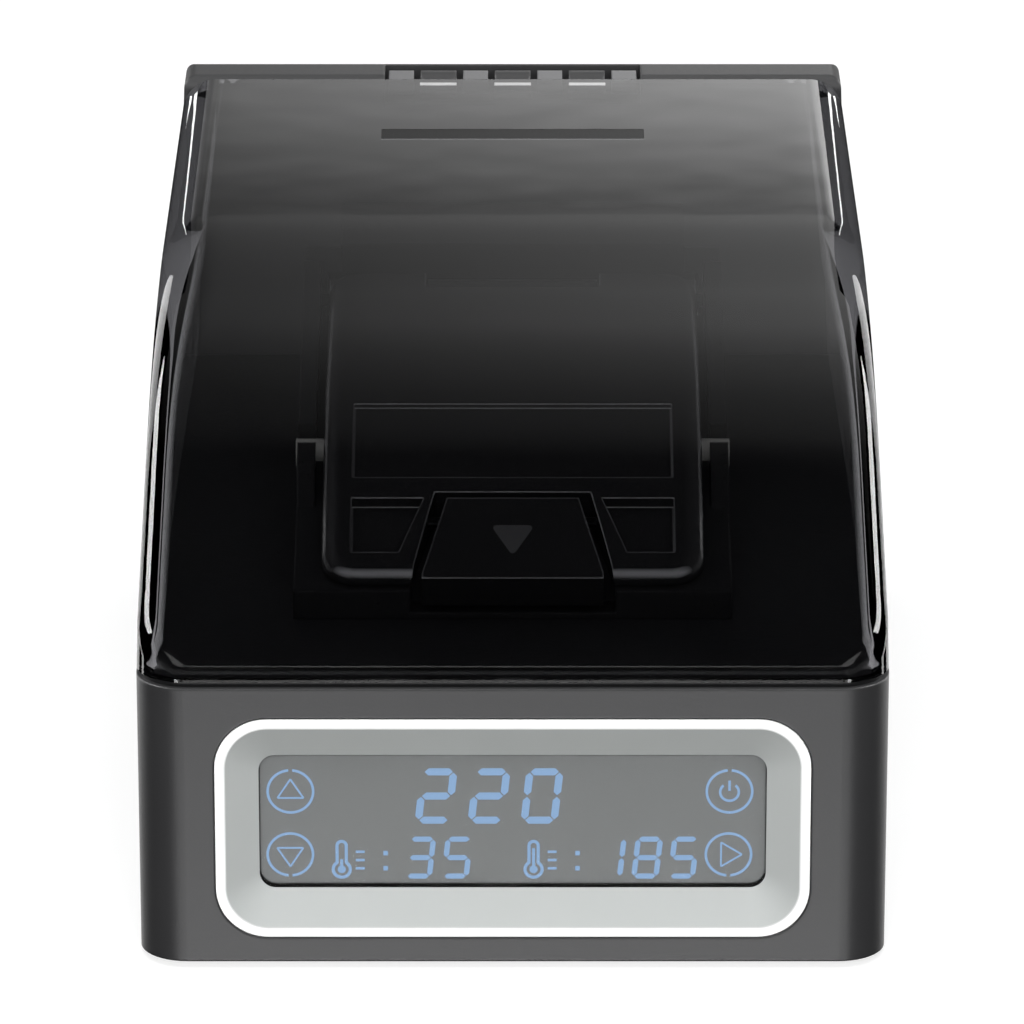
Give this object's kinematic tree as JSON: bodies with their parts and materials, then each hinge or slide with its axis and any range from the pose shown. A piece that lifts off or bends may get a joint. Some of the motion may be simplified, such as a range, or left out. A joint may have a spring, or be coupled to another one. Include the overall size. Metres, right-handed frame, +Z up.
{
  "type": "heated filament splicer",
  "caption": "Desktop box with a touch display, a smoked lid hinged at its rear wall and a latched heated clamp that joins two filament ends inside a thin cross tube.",
  "frame": {"origin": "middle of the footprint, on the table under the rubber feet", "axes": "+X to the right seen from the display, +Y from the display to the rear wall, +Z up"},
  "size_m": [0.1006, 0.145, 0.0835],
  "materials": {
    "grey_plastic": "fine satin texture",
    "black_plastic": "fine texture",
    "clamp_plastic": "satin",
    "white_plastic": "satin",
    "clear_window": "gloss",
    "smoked_clear": "gloss",
    "lcd_panel": "gloss",
    "circuit_board": "solder mask",
    "steel": "brushed",
    "rubber": "matt",
    "inlet_plastic": "satin",
    "aluminium": "machined",
    "ceramic": "matt",
    "insulation": "felt",
    "tube_plastic": "waxy"
  },
  "bodies": {
    "base": {"base_shell": "grey_plastic", "bottom_plate": "black_plastic", "bottom_screws": "steel", "rubber_feet": "rubber", "top_deck": "black_plastic", "display_bezel": "white_plastic", "display_window": "clear_window", "lcd_module": "lcd_panel", "touch_board": "circuit_board", "touch_board_screws": "steel", "control_board": "circuit_board", "control_board_screws": "steel", "dc_inlet": "inlet_plastic", "lid_hinge_pin": "steel", "clamp_cradle": "clamp_plastic", "cradle_screws": "steel", "heater_block": "aluminium", "temperature_probe": "steel", "heater_plate": "ceramic", "insulation_pad": "insulation", "filament_tube": "tube_plastic", "clamp_hinge_pin": "steel"},
    "lid": {"lid": "smoked_clear"},
    "clamp": {"clamp_cover": "clamp_plastic", "pressure_plate": "aluminium", "latch_pin": "steel", "latch_leaf_spring": "steel"},
    "latch": {"latch_tab": "clamp_plastic"}
  },
  "joints": [
    {"name": "lid_hinge", "type": "hinge", "parent": "base", "child": "lid", "pos_m": [0, 0.0681, 0.0809], "axis": [-1, 0, 0], "range_deg": [0, 100]},
    {"name": "clamp_hinge", "type": "hinge", "parent": "base", "child": "clamp", "pos_m": [0, 0.01345, 0.06552], "axis": [-1, 0, 0], "range_deg": [0, 60]},
    {"name": "latch_pull", "type": "hinge", "parent": "clamp", "child": "latch", "pos_m": [0, -0.04028, 0.05164], "axis": [-1, 0, 0], "range_deg": [0, 18], "stiffness_Nm_per_rad": 0.05}
  ],
  "couplings": [
    {"joint": "clamp_hinge", "follows": "lid_hinge", "ratio": 0.6}
  ]
}
